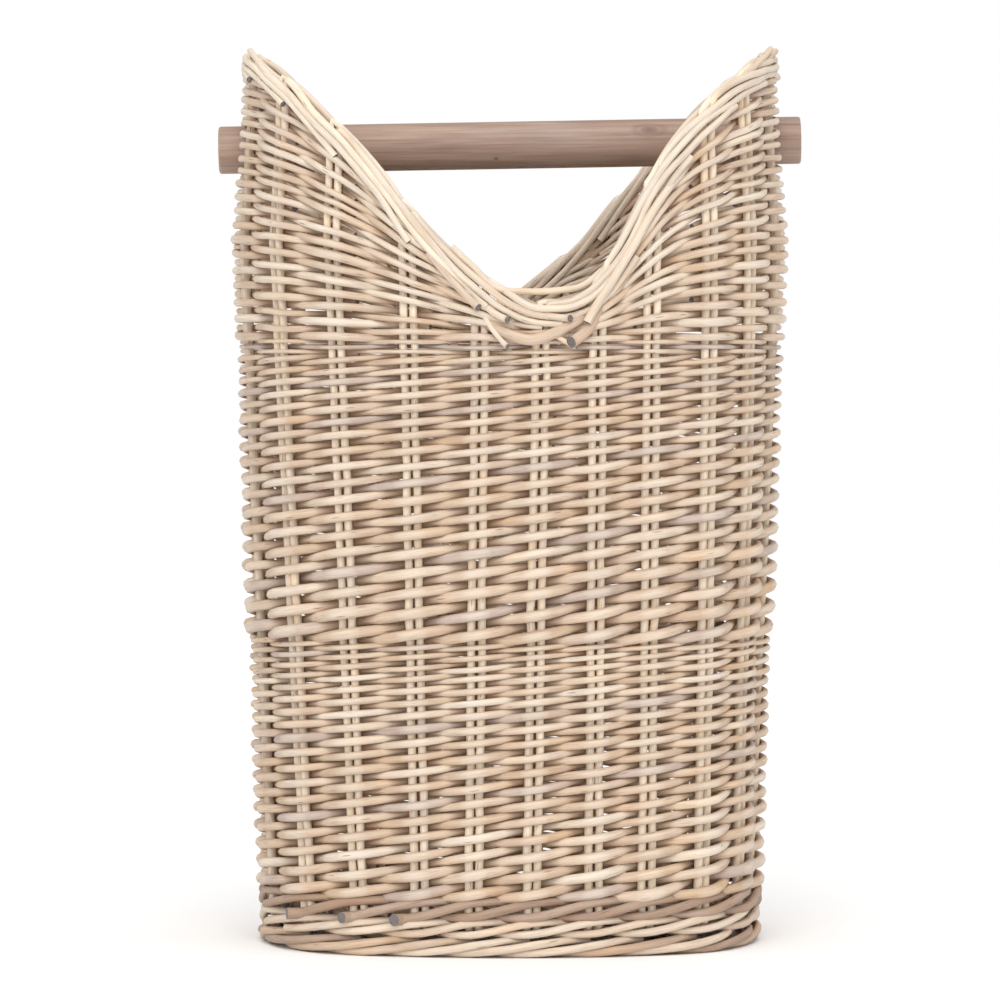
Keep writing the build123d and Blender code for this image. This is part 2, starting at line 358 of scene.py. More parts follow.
STEPS = np.array([0, 0.09, 0.18, 0.34, 0.5, 0.66, 0.82, 0.91])  # shares of a gap where a rod gets a ring
STAKE_SHARE = 0.14  # share of a gap that a rod lies flat on each side of a pair


def stepped(first, last):
    """Pair coordinates from first to last with STEPS in every gap."""
    whole = np.arange(math.floor(first) - 1, math.ceil(last) + 1)
    places = (whole[:, None] + STEPS[None, :]).ravel()
    return np.concatenate([[first], places[(places > first + 0.02) & (places < last - 0.02)], [last]])


def over_under(t):
    """1 in front at even places, -1 behind at odd ones: flat on the stakes and straight between them."""
    total = 0
    for shift in (-0.07, -0.035, 0, 0.035, 0.07):
        away = np.abs((t + shift + 1) % 2 - 1)
        total = total + 1 - 2 * np.clip((away - STAKE_SHARE) / (1 - 2 * STAKE_SHARE), 0, 1)
    return total / 5


# ---------------- materials


def node(tree, kind, **values):
    """A shader node; in_NAME sets an input, anything else a property."""
    made = tree.nodes.new(kind)
    for key, value in values.items():
        if key.startswith("in_"):
            made.inputs[key[3:].replace("_", " ")].default_value = value
        else:
            setattr(made, key, value)
    return made


def ramp(tree, source, *stops):
    """Colours (or plain grey levels) at places along source."""
    made = node(tree, "ShaderNodeValToRGB")
    elements = made.color_ramp.elements
    while len(elements) < len(stops):
        elements.new(0.5)
    for element, (place, colour) in zip(elements, stops):
        element.position = place
        element.color = (*colour, 1) if isinstance(colour, tuple) else (colour, colour, colour, 1)
    tree.links.new(source, made.inputs["Fac"])
    return made.outputs[0]


def mix(tree, kind, share, a, b):
    """a mixed with b; each input is a socket, a number or a colour."""
    made = node(tree, "ShaderNodeMix", data_type="RGBA", blend_type=kind)
    for socket, value in ((made.inputs["Factor"], share), (made.inputs[6], a), (made.inputs[7], b)):
        if isinstance(value, (int, float)):
            socket.default_value = value
        elif isinstance(value, tuple):
            socket.default_value = (*value, 1)
        else:
            tree.links.new(value, socket)
    return made.outputs[2]


def scaled(tree, place, along, across):
    """Texture coordinates on a straightened rod: along it, and across it."""
    made = node(tree, "ShaderNodeVectorMath", operation="MULTIPLY")
    made.inputs[1].default_value = (along, across, across)
    tree.links.new(place, made.inputs[0])
    return made.outputs[0]


def noise(tree, place, along, across, detail, roughness=0.5, distortion=0.0):
    """Noise stretched along a rod."""
    made = node(tree, "ShaderNodeTexNoise", in_Scale=1.0, in_Detail=detail, in_Roughness=roughness)
    made.inputs["Distortion"].default_value = distortion
    tree.links.new(scaled(tree, place, along, across), made.inputs["Vector"])
    return made.outputs["Fac"]


def attribute(tree, name, output):
    """The socket of one of the attributes that Rods keeps."""
    return node(tree, "ShaderNodeAttribute", attribute_name=name).outputs[output]


def rod_material(name):
    """A new material, its tree, and two sockets: the place on the straightened rod, and 1 on a cut end."""
    material = bpy.data.materials.new(name)
    material.use_nodes = True
    tree = material.node_tree
    tree.nodes.clear()
    return material, tree, attribute(tree, "rod_co", "Vector"), attribute(tree, "rod_cut", "Fac")


def finish_material(tree, colour, roughness, specular, height, bump_strength):
    """The surface itself; roughness is a number or a socket, and height the socket of its fine relief."""
    shader = node(tree, "ShaderNodeBsdfPrincipled")
    shader.inputs["Specular IOR Level"].default_value = specular
    if isinstance(roughness, float):
        shader.inputs["Roughness"].default_value = roughness
    else:
        tree.links.new(roughness, shader.inputs["Roughness"])
    bump = node(tree, "ShaderNodeBump", in_Strength=bump_strength, in_Distance=0.0006)
    output = node(tree, "ShaderNodeOutputMaterial")
    tree.links.new(colour, shader.inputs["Base Color"])
    tree.links.new(height, bump.inputs["Height"])
    tree.links.new(bump.outputs[0], shader.inputs["Normal"])
    tree.links.new(shader.outputs[0], output.inputs["Surface"])


def willow(name, tones, depth=1.0):
    """Weathered peeled willow. tones run from the palest rods to the brown ones; depth is for its fibres."""
    material, tree, place, cut = rod_material(name)
    link = tree.links.new
    split = node(tree, "ShaderNodeSeparateXYZ")
    link(attribute(tree, "rod_look", "Vector"), split.inputs[0])
    tone, age, side = split.outputs
    colour = ramp(tree, tone, *((i / (len(tones) - 1), t) for i, t in enumerate(tones)))
    # patches a few centimetres long where the rod is paler, honeyed or greyed
    patches = noise(tree, place, 0.022, 0.16, 3.0, 0.55)
    patches = ramp(tree, patches, (0.3, (0.84, 0.80, 0.77)), (0.5, 1.0), (0.72, (1.1, 1.09, 1.06)))
    colour = mix(tree, "MULTIPLY", 0.85, colour, patches)
    warm = ramp(tree, noise(tree, place, 0.013, 0.05, 2.0), (0.52, 0.0), (0.75, 1.0))
    colour = mix(tree, "MIX", warm, colour, mix(tree, "MULTIPLY", 1.0, colour, (1.0, 0.9, 0.78)))
    # fine fibres along the rod
    fibres = noise(tree, place, 0.06, 2.4, 6.0, 0.65)
    fibre_tone = ramp(tree, fibres, (0.28, (0.5, 0.42, 0.36)), (0.48, 1.0), (0.75, (1.14, 1.15, 1.16)))
    colour = mix(tree, "MULTIPLY", 0.75 * depth, colour, fibre_tone)
    # painted shade where a rod faces into the weave, and paler where it is bent over a stake: partly rub
    # wear, partly a painted highlight
    exposure = node(tree, "ShaderNodeMapRange")
    exposure.inputs["From Min"].default_value = -1.0
    link(side, exposure.inputs["Value"])
    exposure = exposure.outputs[0]
    # painted shade: darker brown on the halves of rods that face into the weave, where shade falls
    tuck_painted_shade = ramp(tree, exposure, (0.0, (0.60, 0.50, 0.43)), (0.28, (0.88, 0.83, 0.79)), (0.46, 1.0))
    colour = mix(tree, "MULTIPLY", 1.0, colour, tuck_painted_shade)
    # paler patch over a stake: rub wear, and a painted highlight where the rod stands out furthest
    rub_and_painted_highlight = ramp(tree, exposure, (0.88, 0.0), (1.0, 0.36))
    colour = mix(tree, "MIX", rub_and_painted_highlight, colour, mix(tree, "MULTIPLY", 0.5, (0.78, 0.70, 0.60), fibre_tone))
    # small dark knots and specks of bark
    specks = node(tree, "ShaderNodeTexVoronoi", in_Scale=1.0, in_Randomness=1.0)
    link(scaled(tree, place, 0.028, 0.28), specks.inputs["Vector"])
    specks = ramp(tree, specks.outputs["Distance"], (0.0, 1.0), (0.075, 0.75), (0.12, 0.0))
    speck_share = mix(tree, "MULTIPLY", 1.0, specks, (0.75, 0.75, 0.75))
    colour = mix(tree, "MIX", speck_share, colour, (0.13, 0.075, 0.045))
    # grey bloom on weathered rods
    bloom = ramp(tree, noise(tree, place, 0.03, 0.3, 4.0, 0.6), (0.5, 0.0), (0.78, 0.55))
    aged = node(tree, "ShaderNodeMath", operation="MULTIPLY")
    link(bloom, aged.inputs[0])
    link(age, aged.inputs[1])
    colour = mix(tree, "MIX", aged.outputs[0], colour, (0.47, 0.39, 0.36))
    pith = noise(tree, place, 0.2, 1.1, 3.0)
    pith = ramp(tree, pith, (0.3, (0.085, 0.075, 0.075)), (0.7, (0.25, 0.22, 0.21)))
    colour = mix(tree, "MIX", cut, colour, pith)

    roughness = node(tree, "ShaderNodeMapRange")
    roughness.inputs["To Min"].default_value = 0.43
    roughness.inputs["To Max"].default_value = 0.75
    link(fibres, roughness.inputs["Value"])
    height = node(tree, "ShaderNodeMath", operation="SUBTRACT")
    link(fibres, height.inputs[0])
    link(specks, height.inputs[1])
    finish_material(tree, colour, roughness.outputs[0], 0.35, height.outputs[0], 0.35)
    return material


PALE = (0.73, 0.64, 0.535)
CREAM = (0.70, 0.59, 0.475)
TAN = (0.64, 0.51, 0.395)
HONEY = (0.585, 0.44, 0.315)
BROWN = (0.43, 0.315, 0.24)
MAUVE = (0.49, 0.395, 0.345)
weave_willow = willow("weave_willow", [PALE, CREAM, TAN, TAN, HONEY, TAN, MAUVE])
stake_willow = willow("stake_willow", [(0.97, 0.84, 0.68), (0.86, 0.75, 0.60), PALE, CREAM], 0.9)
wale_willow = willow("wale_willow", [CREAM, TAN, HONEY, BROWN, (0.37, 0.26, 0.19)])
ear_willow = willow("ear_willow", [PALE, CREAM, CREAM, TAN, TAN, HONEY, TAN, (0.53, 0.39, 0.29)])
border_willow = willow("border_willow", [PALE, CREAM, TAN, HONEY])
base_willow = willow("base_willow", [CREAM, TAN, HONEY, BROWN])


# ---------------- French randing, the two tall bands

STAKE_R = 2.9
RANDING_ROUNDS = 18


def french_band(name, cad_node, low_pitch, butt_r, tip_r, seed):
    """A weaver from each pair, going in front of one pair and behind the next, and rising all the way."""
    low_z, high_z = cad_heights(cad_node)
    levels = 2 * RANDING_ROUNDS
    high_pitch = 2 * (high_z - low_z) / RANDING_ROUNDS - low_pitch
    rises = np.interp(np.arange(levels), [0, levels - 1], [low_pitch / 2, high_pitch / 2])
    level_z = low_z + np.concatenate([[0], np.cumsum(rises)])
    for i in range(PAIRS):
        rods = Rods(f"{name}_{i + 1:02d}", seed + i)
        rng = rods.rng
        level = stepped(-0.8, levels - 0.7)
        pair = level + i + 1
        z = np.interp(level + 0.5, np.arange(levels + 1), level_z)
        r = np.interp(level, [-1, levels], [butt_r, tip_r]) * rng.normal(1.0, 0.06)
        r = r * (1 + 0.035 * eased(rng.normal(0, 1, 80), (level + 2) * 2))
        z = z + eased(rng.normal(0, 0.42, 40), level + 2) * np.interp(level, [0, levels], [1.2, 0.7])
        side = over_under(level)
        out = (STAKE_R + r + eased(rng.normal(0.1, 0.4, 40), level + 2)) * side
        tone = 0.97 if rng.random() < 0.09 else rng.uniform(0, 0.84)
        # butts and tips are brown, and the browner tips under the next band up also stand in as painted
        # shade in the joint
        browned_ends_and_joint_shade = np.interp(level, [0.4, 1.2, levels - 3, levels - 1], [1, 0, 0, 0.8])
        tone = tone + (rng.uniform(0.6, 1) - tone) * browned_ends_and_joint_shade
        points, outward = wall(pair, z, out)
        rods.add(points, r * (0.93 + 0.07 * side), tone, side=side, outward=outward)
        rods.make(weave_willow, [cad_node])


french_band("lower_weaver", "lower_weave_band", 13.6, 3.85, 1.85, 100)
french_band("middle_weaver", "middle_weave_band", 15.0, 4.0, 1.95, 200)


# ---------------- wales and top round


WALE_START = 0.66  # share of a gap at which the last of the three rods comes out
WALE_LATER = (0.24, 0.18, 0.0)  # how much later in its gap each one does
# over the three gaps that the wale repeats in: the height of a rod, and its side of the wall
WALE_RISE = (0, 0.45, 1, 1.5, 2, 2.55, 3), (0.15, -0.78, -0.72, 0, 0.72, 0.78, 0.15)
WALE_SIDE = (0, 0.16, 0.86, 1.1, 1.9, 2.14, 2.84, 3), (-1, -1, 0.95, 1.12, 1.0, 0.85, -1, -1)
BUTT_STEPS = np.array([0, 0.02, 0.05, 0.1, 0.18])  # closer rings where a butt bends out
PUSHED_OUT = (9.5, 6.6, 4.0, 1.6, 0.2)


def wale(name, cad_node, r, starts, butt_out, seed, material, tones):
    """Three rods, each in front of two pairs and behind one. With butt_out 1 their butts stand out."""
    low_z, high_z = cad_heights(cad_node)
    middle = (low_z + high_z) / 2
    step = (high_z - low_z) / 2
    for j, later in enumerate(WALE_LATER):
        late = WALE_START + later
        rods = Rods(f"{name}_{j + 1}", seed + j)
        rng = rods.rng
        at = np.concatenate([late + BUTT_STEPS, np.arange(late + 0.27, PAIRS + 0.5, 1 / 9)])
        phase = at % 3
        z = np.interp(phase, *WALE_RISE) * step
        out = np.interp(phase, *WALE_SIDE)
        blur = np.array([1, 2, 3, 2, 1]) / 9
        z, out = (np.convolve(np.pad(values, 2, mode="edge"), blur, "valid") for values in (z, out))
        radius = r * np.interp(at, [0, PAIRS], [1.05, 0.84]) * (1 + 0.03 * eased(rng.normal(0, 1, 40), at))
        start = np.clip((late + 0.35 - at) / 0.3, 0, 1)
        side = out * (1 - start) + start * 0.8
        out = side * (STAKE_R + radius) + butt_out * np.interp(at - late, BUTT_STEPS, PUSHED_OUT, right=0)
        radius = radius * np.interp(at - late, [0, 0.05, 0.2], [1 + 0.24 * butt_out, 1 + 0.2 * butt_out, 1])
        z = middle + z + eased(rng.normal(0, 0.35, 40), at) - 1.2 * start
        points, outward = wall(at + starts + j - 1, z, out)
        rods.add(points, radius, tones[j], 10, np.clip(side, -1, 0.7), outward)
        rods.make(material, [cad_node])


wale("upper_wale_rod", "upper_wale", 3.3, 3, 1, 300, wale_willow, (1.0, 0.78, 0.9))
wale("lower_wale_rod", "lower_wale", 2.8, 1, 0, 310, border_willow, (0.35, 0.6, 0.45))


def top_round():
    """Three thin rods run round above the bands."""
    low_z, high_z = cad_heights("top_round")
    for j, tone in enumerate((0.8, 1.0, 0.7)):
        rods = Rods(f"top_round_rod_{j + 1}", 320 + j)
        at = stepped(0, PAIRS + 0.6)
        z = low_z + (high_z - low_z) * j / 2.3 + eased(rods.rng.normal(0, 0.35, 40), at)
        side = over_under(at + j)
        points, outward = wall(at + 9, z, (STAKE_R + 1.6) * side)
        rods.add(points, 1.65 - at * 0.01, tone, side=side, outward=outward)
        rods.make(weave_willow, ["top_round"])


top_round()


# ---------------- foot border


# gaps from the pair that a foot rod starts at, and there its height over the floor and its distance out
FOOT_PLACES = (-0.1, 0.35, 0.85, 1.5, 2.2, 2.6, 2.95)
FOOT_PATH = ((9, -6.5), (3.4, -3.4), (3.3, 3.6), (5.4, 6.6), (9.8, 6.6), (11.6, 1.5), (11.5, -4.5))


def foot_border():
    """A rolled border: each rod comes out under the wall, passes over two others and goes in again."""
    low_z, _ = cad_heights("foot_border")
    for s in range(PAIRS):
        rods = Rods(f"foot_border_rod_{s + 1:02d}", 400 + s)
        rng = rods.rng
        t = np.linspace(FOOT_PLACES[0], FOOT_PLACES[-1], 34)
        path = curve(FOOT_PLACES, FOOT_PATH, t)
        wobble = eased(rng.normal(0, 0.35, 6), t + 1)
        r = 3.15 * np.interp(t, [0, 3], [1, 0.86]) * rng.normal(1, 0.04)
        z = np.maximum(low_z + path[:, 0] + wobble, low_z + r + 0.05)
        rods.add(wall(t + s + 1, z, path[:, 1])[0], r, sides=10)
        rods.make(wale_willow, ["foot_border"])


foot_border()


# ---------------- stakes and rim border


LOW_PAIRS = (7.1, 19.5)  # pair coordinates of the rim's low places, front and back
SADDLE_LIFT = 5.5  # the laid strands crowd up over each other there
STAKE_SPREAD = STAKE_R + 0.7  # of a pair's two stakes, each from the middle of the pair
FOOT_RUN_IN = (-39, -22, -7, -1.9)  # distances out of the wall where a stake runs in under the base
# gaps from the stake, and there the strand's distance below the rim's top and its distance from the wall
LAID_PLACES = (0, 0.3, 0.8, 1.4, 2.0, 3.0, 3.4)
LAID_PATH = ((3.0, 0.4), (3.0, 2.6), (4.6, 5.4), (7.4, 5.9), (10.2, 5.9), (15.2, 5.7), (17.2, 7.4))


def standing_stake(s, side, rng):
    """The standing part of a stake of pair s, from under the base to the rim."""
    here = float(s)
    top = rim_height(here) - 3.0 / math.cos(rim_angle(here)) - 1.0
    middle_z = np.arange(FOOT_Z + 12, top - 9, 13.0)
    z = np.concatenate([[FOOT_Z + 2.4, FOOT_Z + 5], middle_z, [top - 7, top - 2.5]])
    sway = eased(rng.normal(0, 0.35, 60), z / 12)
    lean = eased(rng.normal(0, 0.25, 60), z / 20)
    standing = wall(np.full(len(z), here), z, lean, side * STAKE_SPREAD + sway)[0]
    foot = wall(np.full(4, here), FOOT_Z, FOOT_RUN_IN, side * STAKE_SPREAD)[0]
    return np.vstack([foot, standing])


def laid_strand(s, side, rng):
    """The same stake laid to the right along the rim: the right one outside it and the left one inside."""
    length = 3.35 if side > 0 else 2.7
    t = np.concatenate([[0.06, 0.14, 0.24], np.arange(0.36, length, 0.12)])
    path = curve(LAID_PLACES, LAID_PATH, t)
    down = path[:, 0] + eased(rng.normal(0, 0.8, 10), t * 2 + 0.5)
    for low_pair in LOW_PAIRS:
        down = down - SADDLE_LIFT * np.exp(-((lap(s + t) - low_pair) ** 2))
    out = side * path[:, 1] + eased(rng.normal(0, 0.6, 10), t * 2 + 1)
    if side < 0:
        out = out + np.interp(t, [2.2, 2.7], [0, -1.5])
    shift = side * STAKE_SPREAD / gap_length(s, rim_height(float(s)))[0]
    return on_rim(s + t + shift, down, out)[0]


def stakes_and_rim():
    """Every stake: it stands up through the weave, kinks over at the rim and is laid along it."""
    for s in range(1, PAIRS + 1):
        rods = Rods(f"stake_pair_{s:02d}_rods", 500 + s)
        rng = rods.rng
        for side in (-1, 1):
            standing = standing_stake(s, side, rng)
            points = np.vstack([standing, laid_strand(s, side, rng)])
            index = np.arange(len(points))
            kink = len(standing)
            r = np.interp(index, [0, 6, kink, len(points)], [3.1, 3.05, 2.75, 2.35])
            # the standing part is the palest
            tones = [rng.uniform(0, 0.15), rng.uniform(0.4, 1)]
            tone = np.interp(index, [kink - 1, kink + 2], tones)
            rods.add(points, r * rng.normal(1, 0.03), tone, sides=9)
        rods.make(stake_willow, [f"stake_pair_{s:02d}", "rim_border"])


stakes_and_rim()


# each rod about the front's low place: its radius, its tone, and its points (x, height, distance out)
LAID_IN_RODS = {
    "bridge_rod": (2.4, 0.1, [(-40, 496, 3), (-25, 482, 4.5), (-10, 467.5, 4), (12, 465, 1.5),
                   (35, 466, -1.5), (51, 469, -4), (66, 480, -7)]),
    "dip_rod": (4.0, 0.9, [(-30, 449, -6), (-16, 443, 1), (-4, 436.5, 6), (14, 431.5, 8.2), (30, 436, 7.5),
                (44, 443.5, 5), (54, 449, 0)]),
    "steep_rod": (3.1, 0.12, [(112, 541, 4), (96, 519, 7.5), (80, 491, 8.5), (67, 469, 8.8), (57, 453, 9.5),
                  (52, 443.5, 10.5)]),
    "brown_butt": (4.0, 0.97, [(66, 462, 1), (60, 450, 4), (53, 439, 8), (44, 431.5, 12), (41, 430, 14.5)]),
    "left_end_1": (2.6, 0.45, [(-56, 492, 4), (-40, 473, 7.5), (-25, 457.5, 9.5), (-21, 454, 13)]),
    "left_end_2": (2.4, 0.3, [(-20, 458, 4), (-12, 451, 7), (-4, 446.5, 8.5), (-1.5, 445.5, 11)]),
    "right_end": (2.6, 0.35, [(20, 449, 3), (30, 447.5, 6.5), (38, 446.5, 8.5), (40.5, 446.4, 11.5)]),
    "thin_end_1": (1.9, 0.1, [(-18, 449, 5), (-11, 438, 8.5), (-3, 428.5, 10), (-1, 427, 12)]),
    "thin_end_2": (1.9, 0.1, [(29, 436, 4), (37, 431, 8), (43, 427.5, 10), (45, 427, 12)]),
}  # fmt: skip
# ends that stand up over the tips: where each starts and stops on the rim, and how high and far out it ends
TIP_RODS = {
    "tip_rod_left": (3.0, 2.1, 2.6, 5.5),
    "tip_rod_right_1": (10.6, 11.75, 4.6, 7.5),
    "tip_rod_right_2": (11.1, 11.97, 1.5, 8.5),
}
TIP_ROD_START = 6.0  # below the rim's top line


def loose_rods():
    """Single rods laid in by hand about the front rim's low place and the tips, and their ends."""
    front_pairs = np.linspace(2, 12, 400)
    front_x = wall(front_pairs, 470.0)[0][:, 0]
    for i, (name, (radius, tone, points)) in enumerate(LAID_IN_RODS.items()):
        rods = Rods(name, 800 + i)
        last = len(points) - 1
        at = np.linspace(0, last, 6 * len(points))
        x, z, out = curve(np.arange(len(points)), points, at).T
        r = radius * np.interp(at, [0, last], [0.94, 1.04])
        rods.add(wall(np.interp(x, front_x, front_pairs), z, out)[0], r, tone, sides=12)
        rods.make(ear_willow, ["rim_border"])
    for i, (name, (first, last, high, out)) in enumerate(TIP_RODS.items()):
        rods = Rods(name, 830 + i)
        at = np.linspace(0, 1, 20)
        down = TIP_ROD_START - (TIP_ROD_START + high) * at**1.5
        points = on_rim(first + (last - first) * at, down, out * at)[0]
        rods.add(points, 2.5 - 0.4 * at, 0.2 + 0.2 * i, sides=12)
        rods.make(ear_willow, ["rim_border"])


loose_rods()


# ---------------- packed ends

pole_low, pole_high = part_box("pole_handle")
POLE_Z = (pole_low.z + pole_high.z) / 2 / MM
POLE_R = 17.0
POLE_RISE = math.radians(1.0)
EAR_LOW_Z = cad_heights("ear_weave_left")[0]
ROWS = 40
ROOM_UNDER_BORDER = 14.0
WIDEST_ROW = 1.3  # spacing of the lowest rows over the mean one; the highest are as much closer
FALL_OF_LOWEST, FALL_GAIN = 0.38, 0.45  # how closely the lowest row follows the rim; what the highest adds
SHORT_GAPS = (4, 3, 4, 3, 2, 3, 2, 2, 1, 1, 1)  # from the end pair to where two rows of each four end
CLOSING_GAPS = 2.0  # over which the two rows left of each four move together
TUCK_LENGTH = 0.3  # share of a gap that a tip runs on past the place where it goes in
POLE_CLEAR = 3.0
POLE_ENDS_X = 150.0  # the pole goes through the wall farther out than this
POLE_REACH_Y, POLE_FLAT_Y = 24.0, 8.0  # rows give way to the pole within the first, and fully in the second


def room_at(pair):
    """Height over the ears' foot, at a pair coordinate, that the rows have under the border."""
    return np.maximum(0.5, rim_height(pair) - ROOM_UNDER_BORDER / np.cos(rim_angle(pair)) - EAR_LOW_Z)


def runs_on(row):
    """Of each four rows the outer two go on to the rim, and the middle two end on the way."""
    return row % 4 in (0, 3)


def fan_height(row, pair, end):
    """Height of a row over the ear's foot: low rows run nearly level, high ones nearly along the rim."""
    rank = row + 0.5
    if runs_on(row):
        past = np.clip((np.abs(pair - end) - SHORT_GAPS[row // 4]) / CLOSING_GAPS, 0, 1)
        rank = rank + (0.5 if row % 4 == 0 else -0.5) * smooth_step(past)
    share = rank / ROWS
    share = share * (WIDEST_ROW - (WIDEST_ROW - 1) * share)
    full = room_at(end)
    return full * share * np.minimum(1, room_at(pair) / full) ** (FALL_OF_LOWEST + FALL_GAIN * share)


def pole_height(x):
    """Height of the pole's axis at x."""
    return POLE_Z + x * math.tan(POLE_RISE)


def row_radius(row):
    """A row's radius at its end pair: the higher, the thinner."""
    return float(np.interp(row, [0, 12, ROWS], [3.05, 2.8, 2.15]))


def row_end(row, end, turn):
    """Where a row, followed from its end pair to one side, ends inside or under the border."""
    low_pairs = np.array([*LOW_PAIRS, LOW_PAIRS[1] - PAIRS])
    low_pairs = low_pairs[(low_pairs - end) * turn > 0]
    low_place = float(low_pairs[np.argmin(np.abs(low_pairs - end))])
    pair = np.arange(end, low_place, 0.02 * turn)
    under = fan_height(row, pair, end) > room_at(pair)
    rim_place = float(pair[np.argmax(under)]) + TUCK_LENGTH * turn if under.any() else low_place
    if runs_on(row):
        return rim_place
    short_place = end + SHORT_GAPS[row // 4] * turn
    if over_under(float(short_place + row)) > 0:
        # it is in front of that pair, so it ends behind the next one
        short_place += turn
    return min(short_place + TUCK_LENGTH * turn, rim_place, key=lambda place: abs(place - end))


def row_line(row, first, last, end):
    """A row between two pair coordinates, clear of the pole: its points, normals, radii and sides."""
    pair = stepped(min(first, last), max(first, last))
    if first > last:
        pair = pair[::-1]
    side = over_under(pair + row)
    fall = np.minimum(1, room_at(pair) / room_at(end))
    r = row_radius(row) * (0.72 + 0.28 * np.sqrt(fall)) * (0.95 + 0.05 * side)
    z = EAR_LOW_Z + fan_height(row, pair, end)
    under = np.clip((z - EAR_LOW_Z - room_at(pair)) / 4.0, 0, 1)
    out = (STAKE_R + r) * side * (1 - 0.75 * under)
    points = wall(pair, z, out)[0]
    away = z - pole_height(points[:, 0])
    near = (np.abs(points[:, 1]) < POLE_REACH_Y) & (np.abs(points[:, 0]) > POLE_ENDS_X)
    reach = np.hypot(away, np.maximum(0, np.abs(points[:, 1]) - POLE_FLAT_Y))
    z = z + np.sign(away) * np.where(near, np.clip(POLE_R + r + 0.6 - reach, 0, None), 0)
    return (*wall(pair, z, out), r, side)


def turn_line(pair, turn, row, end):
    """Half a turn round a whole-numbered pair, from a row to the next one up, given as row_line gives it."""
    angle = np.linspace(0, math.pi, 9)[1:-1]
    low, high = (EAR_LOW_Z + fan_height(k, float(pair), end) for k in (row, row + 1))
    z = low + (high - low) * angle / math.pi
    r = row_radius(row)
    side = over_under(float(pair + row)) * np.cos(angle)
    along = turn * (2 * STAKE_R + 0.9 + r) * np.sin(angle)
    return (*wall(np.full(len(z), float(pair)), z, (STAKE_R + r) * side, along), np.full(len(z), r), side)


def ear(name, cad_node, end, seed):
    """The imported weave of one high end: rows that fan out from the rim's low places to its end pair."""
    rng = np.random.default_rng(seed)
    front, back = (end + 1, end) if end == 1 else (end - 1, end)
    to_front, to_back = front - back, back - front
    pole_x = math.copysign(half_length(POLE_Z), wall(float(end), POLE_Z)[0][0, 0])
    row = 0
    while row < ROWS:
        middle = EAR_LOW_Z + (fan_height(row, float(end), end) + fan_height(row + 1, float(end), end)) / 2
        if abs(middle - pole_height(pole_x)) > POLE_R + POLE_CLEAR:
            ends = row_end(row, end, to_front), row_end(row, end, to_back)
            routes = [[row_line(row, *ends, end)]]
            row += 1
        else:
            # two rows that the pole is in the way of turn back into each other on each side of it
            routes = []
            for pair, turn in ((front, to_front), (back, to_back)):
                there, back_again = row_end(row, end, turn), row_end(row + 1, end, turn)
                routes.append([row_line(row, there, pair, end), turn_line(pair, -turn, row, end),
                               row_line(row + 1, pair, back_again, end)])  # fmt: skip
            row += 2
        for k, route in enumerate(routes):
            rods = Rods(f"{name}_{row:02d}_{k + 1}", seed * 100 + 2 * row + k)
            points, outward, r, side = (np.concatenate(parts) for parts in zip(*route))
            sway = eased(rng.normal(0, 0.55, len(points) // 5 + 4), np.arange(len(points)) / 5.0)
            points = points + np.array([0, 0, 1.0]) * sway[:, None]
            taper = np.linspace(1.08, 0.92, len(points))[:: 1 if row % 2 else -1] * rng.normal(1, 0.08)
            rods.add(points, r * taper, rng.uniform(0, 1), side=side, outward=outward)
            rods.make(ear_willow, [cad_node])


ear("ear_left_rod", "ear_weave_left", 1, 61)
ear("ear_right_rod", "ear_weave_right", 13, 62)


# ---------------- woven base


BASE_ROUNDS = 15
BASE_OUTER_INSET = 12.5  # from the wall's middle surface to the outermost round
BASE_ROUND_PITCH = 6.3
BASE_STICK_R = 4.6  # of the cross sticks
BASE_SWING = 0.86  # of the full way over and under a stick
BASE_FILL_R = 2.6
# straight rods that fill the middle: the y of each and half its length
BASE_FILL = (
    (-30.0, 58.0), (-24.2, 74.0), (-18.4, 86.0), (-5.8, 94.0), (0.0, 96.0),
    (5.8, 94.0), (18.4, 86.0), (24.2, 74.0), (30.0, 58.0),
)  # fmt: skip
TURN_STEPS = 721


def base_round(i, cross_x, long_y, base_z):
    """Two rods that pair round the base, or nothing where there is no room left for them."""
    turns = np.linspace(0, 2 * math.pi, TURN_STEPS)
    arc = arc_at(turns)
    reach = half_length(base_z) + ARC_LESS[arc] - BASE_OUTER_INSET - i * BASE_ROUND_PITCH
    if reach.min() < 4:
        return
    outward = np.stack([np.cos(turns + math.pi), np.sin(turns + math.pi)], 1)
    flat = ARC_CENTRE[arc] + outward * reach[:, None]
    crossings = {h for x in cross_x for h in np.nonzero(np.diff(np.sign(flat[:, 0] - x)))[0]}
    for y in long_y:
        hits = np.nonzero(np.diff(np.sign(flat[:, 1] - y)))[0]
        crossings |= {h for h in hits if abs(flat[h, 0]) > max(cross_x) + 3}
    crossings = sorted(crossings)
    place = np.interp(np.arange(TURN_STEPS), crossings, np.arange(len(crossings)))
    rods = Rods(f"base_round_{i + 1:02d}", 700 + i)
    r = 2.6 - 0.02 * i
    for k in (0, 1):
        sideways = outward * (1.3 * np.sin(math.pi * (place + k + i)))[:, None]
        up = BASE_SWING * (BASE_STICK_R + r) * over_under(place + k + i)
        rods.add(np.column_stack([flat + sideways, base_z + up])[::2], r)
    rods.make(base_willow, ["base_weave"])


